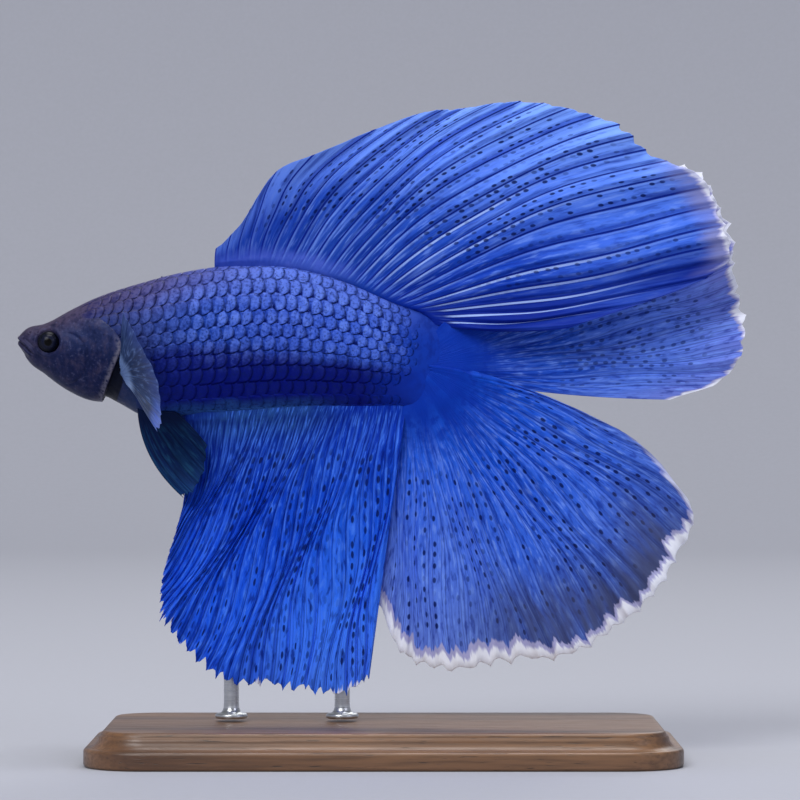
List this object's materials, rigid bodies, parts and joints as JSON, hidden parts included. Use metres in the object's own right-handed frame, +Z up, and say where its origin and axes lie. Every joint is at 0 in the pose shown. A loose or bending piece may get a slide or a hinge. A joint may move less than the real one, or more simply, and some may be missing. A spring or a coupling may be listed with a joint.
{
  "type": "betta fish model",
  "caption": "Life-size still model of a male doubletail betta fish with full, spread blue fins, held by two rods on a plain flat display base.",
  "frame": {"origin": "middle of the box that holds the whole model, at the underside of the stand's base", "axes": "+X from the fish's mouth to its tail, +Y to the fish's right, +Z up"},
  "size_m": [0.0724, 0.03, 0.0652],
  "materials": {
    "head_skin": "dark brown-grey fish skin under clear varnish, satin gloss",
    "body_skin": "blue scaled fish skin, darker along the flank, satin gloss",
    "fin_blue": "royal blue ray fin with dark dots between the rays, satin",
    "tail_blue": "blue ray fin paling to a white torn rim, satin",
    "pelvic_skin": "dark blue-green ray fin, satin",
    "pale_fin": "thin grey-blue ray fin with a pale band and tip, satin",
    "eye": "dark glossy fish eye with a clear domed cornea",
    "walnut": "oiled walnut, satin",
    "steel": "brushed stainless steel rod"
  },
  "bodies": {
    "root": {"head": "head_skin", "lower_jaw": "head_skin", "gill_cover_left": "head_skin", "gill_cover_right": "head_skin", "eye_left": "eye", "eye_right": "eye", "trunk": "body_skin", "tail_stalk": "body_skin", "dorsal_fin": "fin_blue", "anal_fin": "fin_blue", "tail_fin_upper": "tail_blue", "tail_fin_lower": "tail_blue", "pelvic_fin_left": "pelvic_skin", "pelvic_fin_right": "pelvic_skin", "pectoral_fin_left": "pale_fin", "pectoral_fin_right": "pale_fin", "stand_base": "walnut", "stand_rod_front": "steel", "stand_rod_rear": "steel"}
  },
  "joints": []
}
